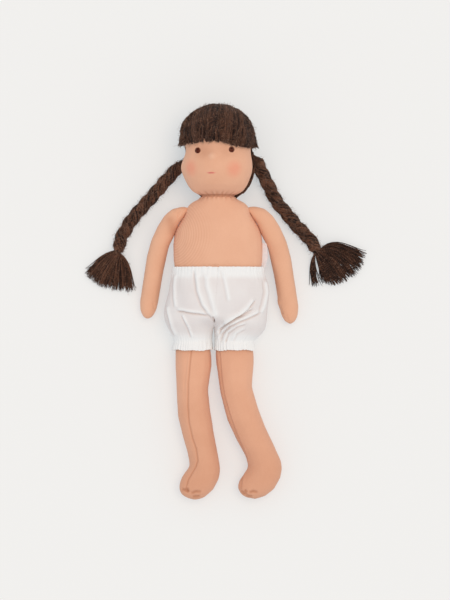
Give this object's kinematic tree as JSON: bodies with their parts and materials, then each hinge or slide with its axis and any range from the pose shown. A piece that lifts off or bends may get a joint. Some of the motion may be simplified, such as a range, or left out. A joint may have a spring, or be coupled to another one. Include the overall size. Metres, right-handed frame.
{
  "type": "cloth doll",
  "caption": "Soft knit doll lying on its back, with a yarn fringe, long plaits ending in tassels, stuffed limbs sewn on flat, and white gathered cotton bloomers.",
  "frame": {"origin": "on the table under the belly, at the middle of the flat that the back rests on", "axes": "+Y to the head, +Z out of the chest, +X to the doll's own left side"},
  "size_m": [0.2689, 0.3755, 0.071],
  "materials": {
    "skin_jersey": "fine ribbed cotton jersey, peach",
    "face_jersey": "fine ribbed cotton jersey, peach, with rubbed blush on the cheeks",
    "wool_filling": "carded wool",
    "hair_yarn": "matt mohair yarn, dark brown",
    "eye_thread": "embroidered stitches, dark brown",
    "mouth_thread": "embroidered stitches, soft red",
    "white_cotton": "thin white cotton, gathered",
    "elastic": "flat braided elastic, white",
    "sewing_thread": "strong cotton thread",
    "label_ribbon": "bare white woven ribbon"
  },
  "bodies": {
    "torso": {"torso_skin": "skin_jersey", "torso_filling": "wool_filling", "waist_elastic": "elastic", "side_label": "label_ribbon", "bloomers_right": "white_cotton", "bloomers_left": "white_cotton"},
    "head": {"head_skin": "face_jersey", "head_core": "wool_filling", "eye_line_thread": "sewing_thread", "neck_thread": "sewing_thread", "hair_fringe": "hair_yarn", "hair_back_right": "hair_yarn", "hair_back_left": "hair_yarn", "parting_seam": "hair_yarn", "eye_right": "eye_thread", "eye_left": "eye_thread", "mouth": "mouth_thread"},
    "arm_right": {"arm_skin_right": "skin_jersey", "arm_filling_right": "wool_filling"},
    "arm_left": {"arm_skin_left": "skin_jersey", "arm_filling_left": "wool_filling"},
    "leg_right": {"leg_skin_right": "skin_jersey", "leg_filling_right": "wool_filling", "cuff_elastic_right": "elastic"},
    "leg_left": {"leg_skin_left": "skin_jersey", "leg_filling_left": "wool_filling", "cuff_elastic_left": "elastic"},
    "braid_right": {"plait_right": "hair_yarn", "plait_tie_right": "hair_yarn", "tassel_right": "hair_yarn"},
    "braid_left": {"plait_left": "hair_yarn", "plait_tie_left": "hair_yarn", "tassel_left": "hair_yarn"}
  },
  "joints": [
    {"name": "neck_turn", "type": "hinge", "parent": "torso", "child": "head", "pos_m": [0, 0.0508, 0.031], "axis": [0, 1, 0], "range_deg": [-30, 30]},
    {"name": "shoulder_right", "type": "hinge", "parent": "torso", "child": "arm_right", "pos_m": [-0.03106, 0.03573, 0.028], "axis": [-1, 0, 0], "range_deg": [-20, 120]},
    {"name": "shoulder_left", "type": "hinge", "parent": "torso", "child": "arm_left", "pos_m": [0.03106, 0.03573, 0.028], "axis": [-1, 0, 0], "range_deg": [-20, 120]},
    {"name": "hip_right", "type": "hinge", "parent": "torso", "child": "leg_right", "pos_m": [-0.02405, -0.0694, 0.02204], "axis": [-1, 0, 0], "range_deg": [-15, 95], "deforming": ["bloomers_right", "bloomers_left"]},
    {"name": "hip_left", "type": "hinge", "parent": "torso", "child": "leg_left", "pos_m": [0.01536, -0.0694, 0.02204], "axis": [-1, 0, 0], "range_deg": [-15, 95], "deforming": ["bloomers_right", "bloomers_left"]},
    {"name": "plait_swing_right", "type": "hinge", "parent": "head", "child": "braid_right", "pos_m": [-0.03579, 0.08113, 0.01057], "axis": [0, 0, -1], "range_deg": [0, 60]},
    {"name": "plait_swing_left", "type": "hinge", "parent": "head", "child": "braid_left", "pos_m": [0.03828, 0.08464, 0.01839], "axis": [0, 0, 1], "range_deg": [0, 60]}
  ]
}
